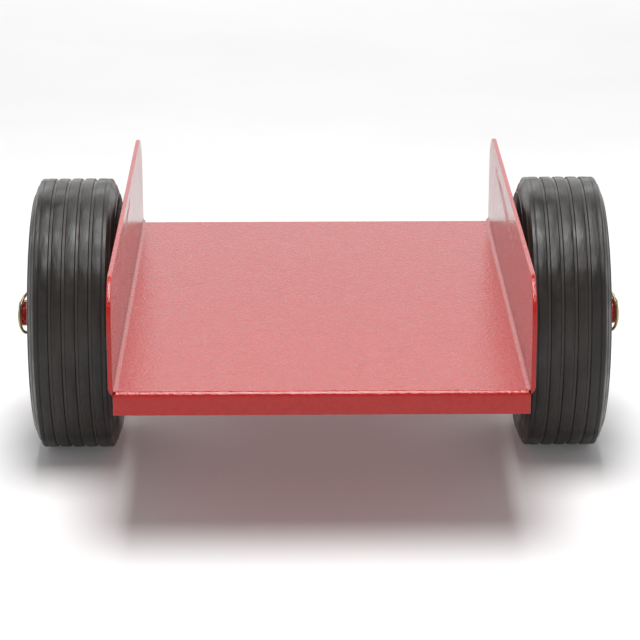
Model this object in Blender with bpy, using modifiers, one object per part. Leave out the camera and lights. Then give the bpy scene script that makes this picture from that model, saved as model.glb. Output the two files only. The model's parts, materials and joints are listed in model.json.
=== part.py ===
"""Two-wheeled panel dolly: one folded steel tray on a through axle with two solid rubber wheels.

Metres, +Z up. The origin is on the ground below the middle of the tray. X runs along the axle,
and the front of the tray is at -Y. Run it with blender --background --python part.py.
"""

import math

import bmesh
import bpy
from mathutils import Vector

NAME = "panel_dolly"
SIDES = {"left": -1, "right": 1}

# Clearances
FIT_GAP = 0.0003  # between pieces that touch
RUNNING_GAP = 0.0003  # round the rollers of a bearing
PIN_GAP = 0.0003  # round a pin in its hole
TYRE_SIDE_GAP = 0.0039  # between a side plate and the tyre beside it
BOLT_HOLE_GAP = 0.0004

# Tray, folded from one sheet
TRAY_LENGTH = 0.5720
TRAY_INNER_WIDTH = 0.3650
SHEET = 0.0040
SIDE_HEIGHT = 0.0974  # above the upper face of the deck
SIDE_FLARE = math.radians(0.25)  # how far each side plate leans outwards
SIDE_BEND_RADIUS = 0.0042  # inner radius of the bend
CORNER_RADIUS = 0.0420  # of the side plates, at their four top corners
LIP_DEPTH = 0.0212  # from the upper face of the deck to the lip's lower edge
LIP_BEND_RADIUS = 0.0055  # outer radius of the bend
LIP_RELIEF = 0.0005  # cut between the lip and the side bend

# Axle and the saddles that hold it
AXLE_RADIUS = 0.0125
AXLE_CHAMFER = 0.0018
AXLE_SET_BACK = 0.0100  # behind the middle of the tray
AXLE_PAST_PIN = 0.0151  # from the linch pin's axis to the axle's end
SADDLE_WIDTH = 0.0500
SADDLE_SPAN = 0.1250  # along the truck, over both feet
SADDLE_SHEET = 0.0050
SADDLE_BEND_RADIUS = 0.0075  # outer radius where a foot turns down
SADDLE_INSET = 0.0025  # from the tray's outer edge
WELD_RADIUS = 0.0026

# Wheels
WHEEL_RADIUS = 0.1300
TYRE_WIDTH = 0.0826
TREAD_INSET = 0.0073  # from the tyre's side to the edge of the tread
TREAD_CHAMFER = 0.0012
SHOULDER_INSET = 0.0032
SHOULDER_DEPTH = 0.0100  # below the tread
SIDEWALL_DEPTH = 0.0200  # from the tread to where the tyre is widest
SIDEWALL_HEIGHT = 0.0140  # of the raised band on each side
SIDEWALL_STEP = 0.0013
BEAD_INSET = 0.0068
BEAD_HEIGHT = 0.0065  # above the rim's flange
GROOVES = 4
GROOVE_PITCH = 0.0125
GROOVE_WIDTH = 0.0037
GROOVE_FLOOR_WIDTH = 0.0025
GROOVE_DEPTH = 0.0018
RIM_SEAT_RADIUS = 0.0508
RIM_FLANGE_HEIGHT = 0.0067  # above the seat
RIM_INSET = 0.0123  # from the tyre's side to the inside of the flange
RIM_SHEET = 0.0020
RIM_BEND_RADIUS = 0.0060
FLANGE_BEND_RADIUS = 0.0025
HUB_LENGTH = 0.0750
HUB_WALL = 0.0035
BOLTS = 4
BOLT_RADIUS = 0.0040
BOLT_LENGTH = 0.0160
BOLT_CHAMFER = 0.0008
HEX_ACROSS_FLATS = 0.0130
BOLT_HEAD_HEIGHT = 0.0053
NUT_HEIGHT = 0.0065

# Roller bearing between axle and hub
ROLLER_SPACE = 0.0050  # from the axle to the bore of the hub
ROLLERS = 10
CAGE_WALL = 0.0022
CAGE_INSET = 0.0040  # from each end of the hub

# Washers and linch pins
WASHER_THICKNESS = 0.0025
WASHER_RIM = 0.0010  # how far a washer stands out round the hub
PIN_RADIUS = 0.0040
PIN_TIP_LENGTH = 0.0046  # past the axle
PIN_CHAMFER = 0.0015
PIN_HEAD_RADIUS = 0.0060
PIN_HEAD_ROUND = 0.0020
PIN_HEAD_END = 0.0065  # past the ring's hinge
RING_WIRE_RADIUS = 0.0015
RING_AXLE_GAP = 0.0055  # between the axle and the inside of the ring
RING_REST_ANGLE = math.radians(20.4)  # from lying flat against the pin
RING_STUB_END = 0.0014  # from the middle of the head to the end of the wire
RING_OPENING = math.radians(27)  # half of the gap in the ring, at its middle

# How finely round shapes are divided
TYRE_STEPS = 40
RIM_STEPS = 24
ROUND_STEPS = 24
SMALL_STEPS = 12
BEND_STEPS = 6
RIM_BEND_STEPS = 3
CORNER_STEPS = 12
RING_STEPS = 22
ROLLER_SIDES = 8
HEX = 6

# Places that follow from the sizes
axle_height = WHEEL_RADIUS
axle_y = AXLE_SET_BACK
deck_bottom = axle_height + AXLE_RADIUS + FIT_GAP
deck_top = deck_bottom + SHEET
side_top = deck_top + SIDE_HEIGHT
tray_front = -TRAY_LENGTH / 2
tray_rear = TRAY_LENGTH / 2
deck_half = TRAY_INNER_WIDTH / 2
tray_half_top = deck_half + SIDE_HEIGHT * math.tan(SIDE_FLARE) + SHEET / math.cos(SIDE_FLARE)
tyre_inner_x = tray_half_top + TYRE_SIDE_GAP
wheel_x = tyre_inner_x + TYRE_WIDTH / 2
hub_outer_x = tyre_inner_x + HUB_LENGTH
hub_bore = AXLE_RADIUS + ROLLER_SPACE
hub_radius = hub_bore + HUB_WALL
rim_half = TYRE_WIDTH / 2 - RIM_INSET
rim_seat = RIM_SEAT_RADIUS - RIM_SHEET / 2
rim_flange_radius = RIM_SEAT_RADIUS + RIM_FLANGE_HEIGHT
rim_face = FIT_GAP / 2 + RIM_SHEET
bolt_circle_radius = (hub_radius + rim_seat - RIM_BEND_RADIUS) / 2
inner_washer_x = tyre_inner_x - FIT_GAP - WASHER_THICKNESS / 2
outer_washer_x = hub_outer_x + FIT_GAP + WASHER_THICKNESS / 2
pin_x = outer_washer_x + WASHER_THICKNESS / 2 + FIT_GAP + PIN_HEAD_RADIUS
axle_half = pin_x + AXLE_PAST_PIN
ring_radius = AXLE_RADIUS + RING_AXLE_GAP + RING_WIRE_RADIUS
saddle_outer_x = deck_half + SHEET - SADDLE_INSET


def clear_scene():
    for obj in list(bpy.data.objects):
        bpy.data.objects.remove(obj, do_unlink=True)
    for name in (NAME, "cutters"):
        bpy.context.scene.collection.children.link(bpy.data.collections.new(name))
    bpy.data.collections["cutters"].hide_render = True


def material(name, colour, roughness, metallic=0.0):
    made = bpy.data.materials.new(name)
    made.use_nodes = True
    made.diffuse_color = (*colour, 1.0)
    shader = made.node_tree.nodes["Principled BSDF"]
    shader.inputs["Base Color"].default_value = (*colour, 1.0)
    shader.inputs["Roughness"].default_value = roughness
    shader.inputs["Metallic"].default_value = metallic
    return made


# Meshes and objects


def add(name, mesh, finish=None, parent=None, location=(0, 0, 0), rotation=(0, 0, 0)):
    """A part with a finish, or without one a cutter that is only used by Booleans."""
    obj = bpy.data.objects.new(name, mesh)
    bpy.data.collections[NAME if finish else "cutters"].objects.link(obj)
    obj.parent = parent
    obj.location = location
    obj.rotation_euler = rotation
    if finish:
        mesh.materials.clear()
        mesh.materials.append(finish)
    else:
        obj.hide_render = True
        obj.display_type = "WIRE"
    return obj


def mesh_from(build, name):
    """A mesh of what build(bm) makes."""
    bm = bmesh.new()
    build(bm)
    mesh = bpy.data.meshes.new(name)
    bm.to_mesh(mesh)
    bm.free()
    return mesh


def cylinder_mesh(name, radius, low, high, steps):
    """A cylinder along Z, from low to high."""

    def build(bm):
        made = bmesh.ops.create_cone(
            bm, cap_ends=True, segments=steps, radius1=radius, radius2=radius, depth=high - low
        )
        bmesh.ops.translate(bm, verts=made["verts"], vec=(0, 0, (low + high) / 2))

    return mesh_from(build, name)


def box_mesh(name, low, high):
    def build(bm):
        size = Vector(high) - Vector(low)
        made = bmesh.ops.create_cube(bm, size=1.0)
        bmesh.ops.scale(bm, verts=made["verts"], vec=size)
        bmesh.ops.translate(bm, verts=made["verts"], vec=Vector(low) + size / 2)

    return mesh_from(build, name)


def line_mesh(name, points, closed=False):
    """Edges through (x, z) points in the XZ plane, for a Screw."""

    def build(bm):
        verts = [bm.verts.new((x, 0, z)) for x, z in points]
        for first, second in zip(verts, verts[1:]):
            bm.edges.new((first, second))
        if closed:
            bm.edges.new((verts[-1], verts[0]))

    return mesh_from(build, name)


def strip_mesh(name, points, low, high, along):
    """An open surface through points, drawn out from low to high along X or Y.

    Along X the points are (y, z), along Y they are (x, z).
    """

    def build(bm):
        def vert(point, distance):
            first, height = point
            return bm.verts.new((distance, first, height) if along == "X" else (first, distance, height))

        near = [vert(point, low) for point in points]
        edges = [bm.edges.new(pair) for pair in zip(near, near[1:])]
        drawn = bmesh.ops.extrude_edge_only(bm, edges=edges)
        moved = [item for item in drawn["geom"] if isinstance(item, bmesh.types.BMVert)]
        step = (high - low, 0, 0) if along == "X" else (0, high - low, 0)
        bmesh.ops.translate(bm, verts=moved, vec=step)
        bmesh.ops.recalc_face_normals(bm, faces=bm.faces)

    return mesh_from(build, name)


def prism_mesh(name, outline, half_width):
    """A solid outline of (y, z) points, drawn out along X to both sides."""

    def build(bm):
        face = bm.faces.new([bm.verts.new((-half_width, y, z)) for y, z in outline])
        drawn = bmesh.ops.extrude_face_region(bm, geom=[face])
        moved = [item for item in drawn["geom"] if isinstance(item, bmesh.types.BMVert)]
        bmesh.ops.translate(bm, verts=moved, vec=(2 * half_width, 0, 0))
        bmesh.ops.recalc_face_normals(bm, faces=bm.faces)

    return mesh_from(build, name)


def screw(obj, steps):
    """Turns the object's edges a full turn about its Z axis."""
    turn = obj.modifiers.new("turn", "SCREW")
    turn.steps = steps
    turn.render_steps = steps
    turn.use_merge_vertices = True
    turn.merge_threshold = 0.00001
    turn.use_smooth_shade = True


def solidify(obj, thickness, offset):
    shell = obj.modifiers.new("sheet", "SOLIDIFY")
    shell.thickness = thickness
    shell.offset = offset
    shell.use_even_offset = True


def boolean(obj, other, operation="DIFFERENCE"):
    cut = obj.modifiers.new(other.name, "BOOLEAN")
    cut.operation = operation
    cut.solver = "EXACT"
    cut.object = other


def finished_mesh(obj, name):
    """The object's mesh with its modifiers applied."""
    graph = bpy.context.evaluated_depsgraph_get()
    mesh = bpy.data.meshes.new_from_object(obj.evaluated_get(graph))
    mesh.name = name
    return mesh


def smooth(obj, angle=math.radians(35)):
    obj.data.shade_smooth()
    obj.data.set_sharp_from_angle(angle=angle)


# Outlines


def arc(centre, radius, start, end, steps):
    """Points on an arc from one angle to another, both included."""
    angles = [start + (end - start) * step / steps for step in range(steps + 1)]
    return [(centre[0] + radius * math.cos(a), centre[1] + radius * math.sin(a)) for a in angles]


def rounded(points, radius, steps=BEND_STEPS):
    """The polyline with each inner corner turned into an arc of the given radius."""
    out = [points[0]]
    for before, corner, after in zip(points, points[1:], points[2:]):
        corner = Vector(corner)
        to_before = (Vector(before) - corner).normalized()
        to_after = (Vector(after) - corner).normalized()
        half = to_before.angle(to_after) / 2
        centre = corner + (to_before + to_after).normalized() * radius / math.sin(half)
        start = corner + to_before * radius / math.tan(half) - centre
        sweep = start.angle_signed(corner + to_after * radius / math.tan(half) - centre)
        for step in range(steps + 1):
            angle = math.atan2(start.y, start.x) - sweep * step / steps
            out.append((centre.x + radius * math.cos(angle), centre.y + radius * math.sin(angle)))
    return out + [points[-1]]


# Tray


def channel_outline():
    """The inner face of the deck and side plates, as (x, z)."""
    top_half = deck_half + SIDE_HEIGHT * math.tan(SIDE_FLARE)
    corners = [(-top_half, side_top), (-deck_half, deck_top), (deck_half, deck_top), (top_half, side_top)]
    return rounded(corners, SIDE_BEND_RADIUS)


def corner_cutter(name, edge, inward):
    """What rounds off both side plates at a top corner: inward is the Y direction into the tray."""
    centre = (edge + inward * CORNER_RADIUS, side_top - CORNER_RADIUS)
    start, end = (math.pi, math.pi / 2) if inward > 0 else (0, math.pi / 2)
    outside = edge - inward * SHEET
    outline = arc(centre, CORNER_RADIUS, start, end, CORNER_STEPS)
    outline += [(centre[0], side_top + SHEET), (outside, side_top + SHEET), (outside, centre[1])]
    return add(name, prism_mesh(name, outline, tray_half_top + SHEET))


def lip_piece(name, edge, inward):
    """The edge of the deck that is bent down, reaching back over the deck by its own bend radius."""
    reach = edge + inward * 2 * LIP_BEND_RADIUS
    corners = [(reach, deck_top), (edge, deck_top), (edge, deck_top - LIP_DEPTH)]
    mesh = strip_mesh(name, rounded(corners, LIP_BEND_RADIUS), -deck_half, deck_half, "X")
    lip = add(name, mesh)
    solidify(lip, SHEET, inside_of(mesh))
    return lip


def inside_of(mesh):
    """The Solidify offset that puts the sheet under the mesh's largest level face."""
    level = max(mesh.polygons, key=lambda face: face.area * abs(face.normal.z))
    return -1 if level.normal.z > 0 else 1


def lip_notch(name, edge, inward):
    """What takes away the square edge of the deck where the lip's bend goes."""
    ys = sorted((edge - inward * SHEET, edge + inward * LIP_BEND_RADIUS))
    low = (-deck_half, ys[0], deck_bottom - SHEET)
    high = (deck_half, ys[1], deck_top + LIP_RELIEF)
    return add(name, box_mesh(name, low, high))


def make_tray(finish):
    mesh = strip_mesh("tray", channel_outline(), tray_front, tray_rear, "Y")
    tray = add("tray", mesh, finish)
    solidify(tray, SHEET, inside_of(mesh))
    for place, edge, inward in (("front", tray_front, 1), ("rear", tray_rear, -1)):
        boolean(tray, corner_cutter(f"{place}_corner_cut", edge, inward))
        boolean(tray, lip_notch(f"{place}_lip_notch", edge, inward))
        boolean(tray, lip_piece(f"{place}_lip", edge, inward), "UNION")
    return tray


# Axle, saddles and welds


def make_axle(finish):
    profile = [
        (0, axle_half),
        (AXLE_RADIUS - AXLE_CHAMFER, axle_half),
        (AXLE_RADIUS, axle_half - AXLE_CHAMFER),
        (AXLE_RADIUS, AXLE_CHAMFER - axle_half),
        (AXLE_RADIUS - AXLE_CHAMFER, -axle_half),
        (0, -axle_half),
    ]
    place = (0, axle_y, axle_height)
    axle = add("axle", line_mesh("axle", profile), finish, location=place, rotation=(0, math.pi / 2, 0))
    screw(axle, ROUND_STEPS)
    hole = cylinder_mesh("pin_hole", PIN_RADIUS + PIN_GAP, -2 * AXLE_RADIUS, 2 * AXLE_RADIUS, SMALL_STEPS)
    for side, sign in SIDES.items():
        cutter = add(
            f"{side}_pin_hole", hole, location=(sign * pin_x, axle_y, axle_height), rotation=(math.pi / 2, 0, 0)
        )
        boolean(axle, cutter)


def saddle_outline():
    """The upper face of a saddle, as (y, z) with y from the axle: foot, down, round under it, up and foot."""
    foot_z = deck_bottom - FIT_GAP
    wall = AXLE_RADIUS + FIT_GAP
    rear = rounded([(SADDLE_SPAN / 2, foot_z), (wall, foot_z), (wall, axle_height)], SADDLE_BEND_RADIUS)
    under = arc((0, axle_height), wall, 0, -math.pi, SMALL_STEPS)[1:-1]
    front = [(-y, z) for y, z in reversed(rear)]
    return rear + under + front


def make_saddles(finish, weld_finish):
    for side, sign in SIDES.items():
        low, high = sorted((sign * saddle_outer_x, sign * (saddle_outer_x - SADDLE_WIDTH)))
        name = f"{side}_axle_saddle"
        mesh = strip_mesh(name, saddle_outline(), low, high, "X")
        saddle = add(name, mesh, finish, location=(0, axle_y, 0))
        solidify(saddle, SADDLE_SHEET, inside_of(mesh))
        for place, end in (("front", -1), ("rear", 1)):
            bead = cylinder_mesh("weld", WELD_RADIUS, low + WELD_RADIUS, high - WELD_RADIUS, SMALL_STEPS)
            y = axle_y + end * (SADDLE_SPAN / 2 + FIT_GAP + WELD_RADIUS)
            z = deck_bottom - FIT_GAP - WELD_RADIUS
            weld = add(
                f"{side}_{place}_weld", bead, weld_finish, location=(0, y, z), rotation=(0, math.pi / 2, 0)
            )
            smooth(weld)


# Wheels


def groove_outline():
    """The grooves round the tread, from the outermost to the innermost, as (radius, x)."""
    points = []
    for groove in range(GROOVES):
        middle = (GROOVES - 1) / 2 * GROOVE_PITCH - groove * GROOVE_PITCH
        points += [
            (WHEEL_RADIUS, middle + GROOVE_WIDTH / 2),
            (WHEEL_RADIUS - GROOVE_DEPTH, middle + GROOVE_FLOOR_WIDTH / 2),
            (WHEEL_RADIUS - GROOVE_DEPTH, middle - GROOVE_FLOOR_WIDTH / 2),
            (WHEEL_RADIUS, middle - GROOVE_WIDTH / 2),
        ]
    return points


def tyre_outline():
    """A closed section of the solid tyre, up its outer side, over the tread and down its inner side."""
    half = TYRE_WIDTH / 2
    bead_half = rim_half - FIT_GAP
    bore = RIM_SEAT_RADIUS + FIT_GAP
    widest = WHEEL_RADIUS - SIDEWALL_DEPTH
    outer_side = [
        (bore, bead_half - FLANGE_BEND_RADIUS),
        (bore + FLANGE_BEND_RADIUS, bead_half),
        (rim_flange_radius + FIT_GAP, bead_half),
        (rim_flange_radius + BEAD_HEIGHT, half - BEAD_INSET),
        (widest - SIDEWALL_HEIGHT, half - SIDEWALL_STEP),
        (widest - SIDEWALL_HEIGHT + SIDEWALL_STEP, half),
        (widest, half),
        (WHEEL_RADIUS - SHOULDER_DEPTH, half - SHOULDER_INSET),
        (WHEEL_RADIUS - TREAD_CHAMFER, half - TREAD_INSET),
        (WHEEL_RADIUS, half - TREAD_INSET - TREAD_CHAMFER),
    ]
    return outer_side + groove_outline() + [(radius, -x) for radius, x in reversed(outer_side)]


def rim_outline():
    """Half of the rim from the hub out to the flange, as (radius, x), along the middle of the sheet."""
    disc = rim_face - RIM_SHEET / 2
    flange = rim_half + RIM_SHEET / 2
    start = (hub_radius + FIT_GAP, disc)
    halfway = (rim_seat, rim_half / 2)
    end = (rim_flange_radius, flange)
    inner = rounded([start, (rim_seat, disc), halfway], RIM_BEND_RADIUS, RIM_BEND_STEPS)
    outer = rounded([halfway, (rim_seat, flange), end], FLANGE_BEND_RADIUS, RIM_BEND_STEPS)
    return inner + outer[1:]


def ring_mesh(name, inner, outer, low, high):
    """The closed section of a plain ring, for a Screw."""
    return line_mesh(name, [(inner, high), (outer, high), (outer, low), (inner, low)], closed=True)


def hexagon_mesh(name, low, high):
    return cylinder_mesh(name, HEX_ACROSS_FLATS / 2 / math.cos(math.pi / HEX), low, high, HEX)


def bolt_mesh():
    """A hexagon bolt along Z: its head stands on the plane of Z = 0 and its shank hangs below."""
    head = add("bolt_head_form", hexagon_mesh("bolt_head_form", 0, BOLT_HEAD_HEIGHT))
    in_head = BOLT_HEAD_HEIGHT / 2
    profile = [
        (0, in_head),
        (BOLT_RADIUS, in_head),
        (BOLT_RADIUS, BOLT_CHAMFER - BOLT_LENGTH),
        (BOLT_RADIUS - BOLT_CHAMFER, -BOLT_LENGTH),
        (0, -BOLT_LENGTH),
    ]
    shank = add("bolt_shank_form", line_mesh("bolt_shank_form", profile))
    screw(shank, SMALL_STEPS)
    boolean(head, shank, "UNION")
    return finished_mesh(head, "rim_bolt")


def nut_mesh():
    """A hexagon nut along Z, centred on its own middle."""
    nut = add("nut_form", hexagon_mesh("nut_form", -NUT_HEIGHT / 2, NUT_HEIGHT / 2))
    bore = cylinder_mesh("nut_bore", BOLT_RADIUS + FIT_GAP, -NUT_HEIGHT, NUT_HEIGHT, SMALL_STEPS)
    boolean(nut, add("nut_bore", bore))
    return finished_mesh(nut, "rim_nut")


def bolt_places():
    """(x, y, angle) of each bolt about the wheel's axis."""
    angles = [2 * math.pi * (index + 0.5) / BOLTS for index in range(BOLTS)]
    return [(bolt_circle_radius * math.cos(a), bolt_circle_radius * math.sin(a), a) for a in angles]


def make_rim(side, parent, finish):
    """Two pressed halves, back to back, with holes for the bolts."""
    reach = 2 * rim_face
    hole = cylinder_mesh("bolt_hole", BOLT_RADIUS + BOLT_HOLE_GAP, -reach, reach, SMALL_STEPS)
    holes = [
        add(f"{side}_bolt_hole_{index}", hole, parent=parent, location=(x, y, 0))
        for index, (x, y, _) in enumerate(bolt_places(), 1)
    ]
    for place, direction in (("outer", 1), ("inner", -1)):
        outline = [(radius, direction * x) for radius, x in rim_outline()]
        name = f"{side}_rim_{place}_half"
        half = add(name, line_mesh(name, outline), finish, parent)
        screw(half, RIM_STEPS)
        solidify(half, RIM_SHEET, 0)
        for cutter in holes:
            boolean(half, cutter)


def make_bearing(side, parent, finish):
    """The roller cage: a sleeve with the rollers standing out of it on both sides."""
    length = HUB_LENGTH - 2 * CAGE_INSET
    middle = hub_middle()
    roller_radius = ROLLER_SPACE / 2 - RUNNING_GAP
    pitch = AXLE_RADIUS + ROLLER_SPACE / 2
    sleeve = ring_mesh("cage", pitch - CAGE_WALL / 2, pitch + CAGE_WALL / 2, -length / 2, length / 2)
    cage = add(f"{side}_roller_cage", sleeve, finish, parent, location=(0, 0, middle))
    screw(cage, ROUND_STEPS)
    reach = length / 2 - CAGE_WALL
    roller = cylinder_mesh("roller", roller_radius, -reach, reach, ROLLER_SIDES)
    for index in range(ROLLERS):
        angle = 2 * math.pi * index / ROLLERS
        place = (pitch * math.cos(angle), pitch * math.sin(angle), middle)
        boolean(cage, add(f"{side}_roller_{index}", roller, parent=parent, location=place), "UNION")


def hub_middle():
    """Where the hub's middle is, outwards from the tyre's middle plane."""
    return (HUB_LENGTH - TYRE_WIDTH) / 2


def make_wheel(side, finishes, bolt, nut):
    sign = SIDES[side]
    centre = bpy.data.objects.new(f"{side}_wheel_axis", None)
    bpy.data.collections[NAME].objects.link(centre)
    centre.location = (sign * wheel_x, axle_y, axle_height)
    centre.rotation_euler = (0, sign * math.pi / 2, 0)

    name = f"{side}_tyre"
    screw(add(name, line_mesh(name, tyre_outline(), closed=True), finishes["rubber"], centre), TYRE_STEPS)
    make_rim(side, centre, finishes["rim"])

    name = f"{side}_hub_tube"
    tube = ring_mesh(name, hub_bore, hub_radius, -HUB_LENGTH / 2, HUB_LENGTH / 2)
    screw(add(name, tube, finishes["rim"], centre, location=(0, 0, hub_middle())), RIM_STEPS)
    make_bearing(side, centre, finishes["nylon"])

    under_head = rim_face + FIT_GAP
    nut_z = -under_head - NUT_HEIGHT / 2
    for index, (x, y, angle) in enumerate(bolt_places(), 1):
        turned = (0, 0, angle)
        add(f"{side}_rim_bolt_{index}", bolt, finishes["zinc"], centre, (x, y, under_head), turned)
        add(f"{side}_rim_nut_{index}", nut, finishes["zinc"], centre, (x, y, nut_z), turned)


# Washers, linch pins and their rings


def make_washers(side, finish):
    half = WASHER_THICKNESS / 2
    for place, x in (("inner", inner_washer_x), ("outer", outer_washer_x)):
        name = f"{side}_{place}_washer"
        mesh = ring_mesh(name, AXLE_RADIUS + FIT_GAP, hub_radius + WASHER_RIM, -half, half)
        centre = (SIDES[side] * x, axle_y, axle_height)
        screw(add(name, mesh, finish, location=centre, rotation=(0, math.pi / 2, 0)), ROUND_STEPS)


def make_linch_pin(side, finish):
    """The pin lies across the axle with its head to the rear, drilled for the ring."""
    tip = -AXLE_RADIUS - PIN_TIP_LENGTH
    under_head = AXLE_RADIUS + FIT_GAP
    head_end = ring_radius + PIN_HEAD_END
    profile = [
        (0, head_end),
        (PIN_HEAD_RADIUS - PIN_HEAD_ROUND, head_end),
        (PIN_HEAD_RADIUS, head_end - PIN_HEAD_ROUND),
        (PIN_HEAD_RADIUS, under_head),
        (PIN_RADIUS, under_head),
        (PIN_RADIUS, tip + PIN_CHAMFER),
        (PIN_RADIUS - PIN_CHAMFER, tip),
        (0, tip),
    ]
    place = (SIDES[side] * pin_x, axle_y, axle_height)
    name = f"{side}_linch_pin"
    pin = add(name, line_mesh(name, profile), finish, location=place, rotation=(-math.pi / 2, 0, 0))
    screw(pin, SMALL_STEPS)
    reach = 2 * PIN_HEAD_RADIUS
    hole = cylinder_mesh("ring_hole", RING_WIRE_RADIUS + PIN_GAP, -reach, reach, SMALL_STEPS)
    hinge = (SIDES[side] * pin_x, axle_y + ring_radius, axle_height)
    boolean(pin, add(f"{side}_ring_hole", hole, location=hinge))


def make_ring(side, finish):
    """The wire ring, hinged in the pin's head about a vertical axis and looped over the axle's end."""
    turned = [
        (ring_radius * (math.cos(angle) - 1), ring_radius * math.sin(angle))
        for angle in (
            RING_OPENING + (2 * math.pi - 2 * RING_OPENING) * step / RING_STEPS for step in range(RING_STEPS + 1)
        )
    ]
    stub_top = PIN_HEAD_RADIUS + RING_WIRE_RADIUS / 2
    points = [(0, RING_STUB_END), (0, stub_top)] + turned + [(0, -stub_top), (0, -RING_STUB_END)]
    curve = bpy.data.curves.new(f"{side}_linch_pin_ring", "CURVE")
    curve.dimensions = "3D"
    curve.bevel_depth = RING_WIRE_RADIUS
    curve.bevel_resolution = 2
    curve.use_fill_caps = True
    spline = curve.splines.new("POLY")
    spline.points.add(len(points) - 1)
    for point, (y, z) in zip(spline.points, points):
        point.co = (0, y, z, 1)
    curve.materials.append(finish)
    ring = bpy.data.objects.new(f"{side}_linch_pin_ring", curve)
    bpy.data.collections[NAME].objects.link(ring)
    ring.location = (SIDES[side] * pin_x, axle_y + ring_radius, axle_height)
    ring.rotation_euler = (0, 0, SIDES[side] * RING_REST_ANGLE)


def main():
    clear_scene()
    red = material("red_powder_coat", (0.50, 0.030, 0.022), 0.28)
    finishes = {
        "rubber": material("black_rubber", (0.030, 0.028, 0.026), 0.65),
        "rim": material("grey_rim_paint", (0.42, 0.43, 0.44), 0.40, 0.6),
        "zinc": material("bright_zinc", (0.62, 0.63, 0.64), 0.30, 1.0),
        "yellow_zinc": material("yellow_zinc", (0.60, 0.47, 0.20), 0.30, 1.0),
        "nylon": material("white_nylon", (0.75, 0.73, 0.66), 0.50),
    }
    make_tray(red)
    make_axle(red)
    make_saddles(red, red)
    bolt, nut = bolt_mesh(), nut_mesh()
    for side in SIDES:
        make_wheel(side, finishes, bolt, nut)
        make_washers(side, finishes["zinc"])
        make_linch_pin(side, finishes["yellow_zinc"])
        make_ring(side, finishes["yellow_zinc"])


main()
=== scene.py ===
"""Looks of the two-wheeled panel dolly: detailed pieces, finishes, floor, light and camera.

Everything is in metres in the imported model's own frame: the origin is on the ground below the middle
of the tray, X runs along the axle, the front of the tray is at -Y and +Z is up.
"""

import json
import math

import bmesh
import bpy
from mathutils import Matrix, Vector


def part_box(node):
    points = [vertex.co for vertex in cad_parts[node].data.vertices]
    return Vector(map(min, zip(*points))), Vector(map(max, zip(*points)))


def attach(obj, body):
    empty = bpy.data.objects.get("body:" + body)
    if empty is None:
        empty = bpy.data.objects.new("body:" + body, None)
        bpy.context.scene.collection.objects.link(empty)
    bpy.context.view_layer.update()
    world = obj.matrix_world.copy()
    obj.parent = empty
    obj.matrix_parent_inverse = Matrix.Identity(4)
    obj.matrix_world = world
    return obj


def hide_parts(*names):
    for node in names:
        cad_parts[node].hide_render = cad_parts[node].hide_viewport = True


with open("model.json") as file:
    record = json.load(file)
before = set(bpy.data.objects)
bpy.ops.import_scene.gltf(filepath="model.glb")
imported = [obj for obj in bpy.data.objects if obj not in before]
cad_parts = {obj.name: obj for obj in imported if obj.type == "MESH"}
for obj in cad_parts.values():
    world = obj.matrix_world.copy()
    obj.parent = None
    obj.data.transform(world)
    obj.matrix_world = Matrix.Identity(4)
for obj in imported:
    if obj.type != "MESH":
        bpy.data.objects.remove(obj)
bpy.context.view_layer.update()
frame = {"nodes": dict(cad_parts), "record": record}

SIDES = {"left": -1, "right": 1}

# Tray
SHEET = 0.0040
SIDE_FLARE = math.radians(0.25)
SIDE_BEND_RADIUS = 0.0042
CORNER_RADIUS = 0.0420
LIP_BEND_RADIUS = 0.0055
LIP_RELIEF = 0.0005
EDGE_ROUND = 0.0007  # of the sheared edges, under the coat

# Saddles and welds
SADDLE_SHEET = 0.0050
SADDLE_BEND_RADIUS = 0.0075
SADDLE_EDGE_ROUND = 0.0008
FIT_GAP = 0.0003
WELD_RIPPLE = 0.0016
WELD_RIPPLE_HEIGHT = 0.00022
WELD_STEPS_PER_RIPPLE = 8
WELD_SWAYS = ((0.0002, 17), (0.00012, 41))  # how far it sways in Y, and how fast along its length
WELD_END_SHARE = 0.45  # of its section, left at each end
WELD_END_RISE = 9

# Axle, washers and linch pins
AXLE_CHAMFER = 0.0018
AXLE_EDGE_ROUND = 0.0006
AXLE_HOLE_REACH = 0.02
WASHER_ROUND = 0.0005
PIN_RADIUS = 0.0040
PIN_TIP_TAPER = 0.0015
PIN_HEAD_RADIUS = 0.0060
PIN_HEAD_ROUND = 0.0022
PIN_CAP_RADIUS = 0.0012  # of the flat middle of both ends
PIN_HOLE_REACH = 0.01
RING_WIRE_RADIUS = 0.0015
RING_REST_ANGLE = math.radians(20.4)
RING_OPENING = math.radians(27)  # from the hinge to each end of the loop, seen from its centre
RING_STUB_END = 0.0014  # from the hinge
RING_BEND_RADIUS = 0.0012
PIN_GAP = 0.0003
RING_AXLE_GAP = 0.0055

# Wheels
TREAD_INSET = 0.0073
TREAD_CHAMFER = 0.0012
SHOULDER_INSET = 0.0032
SHOULDER_DEPTH = 0.0100
SIDEWALL_DEPTH = 0.0200
SIDEWALL_HEIGHT = 0.0140
SIDEWALL_STEP = 0.0013
BAND_INSET = 0.0003
BEAD_INSET = 0.0068
BEAD_HEIGHT = 0.0065
SIDEWALL_LINES = (0.007, 0.018, 0.026)  # above the bead
SIDEWALL_LINE = (0.0022, 0.0006)  # width and how far it stands out, as in the lines below
BAND_LINE_START = 0.0050
BAND_LINE = (0.0016, 0.0003)
FALL_LINE_START = 0.0045
FALL_LINE = (0.0014, 0.0005)
SHOULDER_RIDGE_START = 0.0032
SHOULDER_RIDGE = (0.0012, 0.0004)
GROOVES = 4
GROOVE_PITCH = 0.0125
GROOVE_WIDTH = 0.0037
GROOVE_FLOOR_WIDTH = 0.0025
GROOVE_DEPTH = 0.0018
RIB_CROWN = 0.00025
SHOULDER_LINE = 0.0293  # from the tyre's middle plane
SHOULDER_LINE_WIDTH = 0.0012
SHOULDER_LINE_DEPTH = 0.0008
RIM_SEAT_RADIUS = 0.0508
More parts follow.
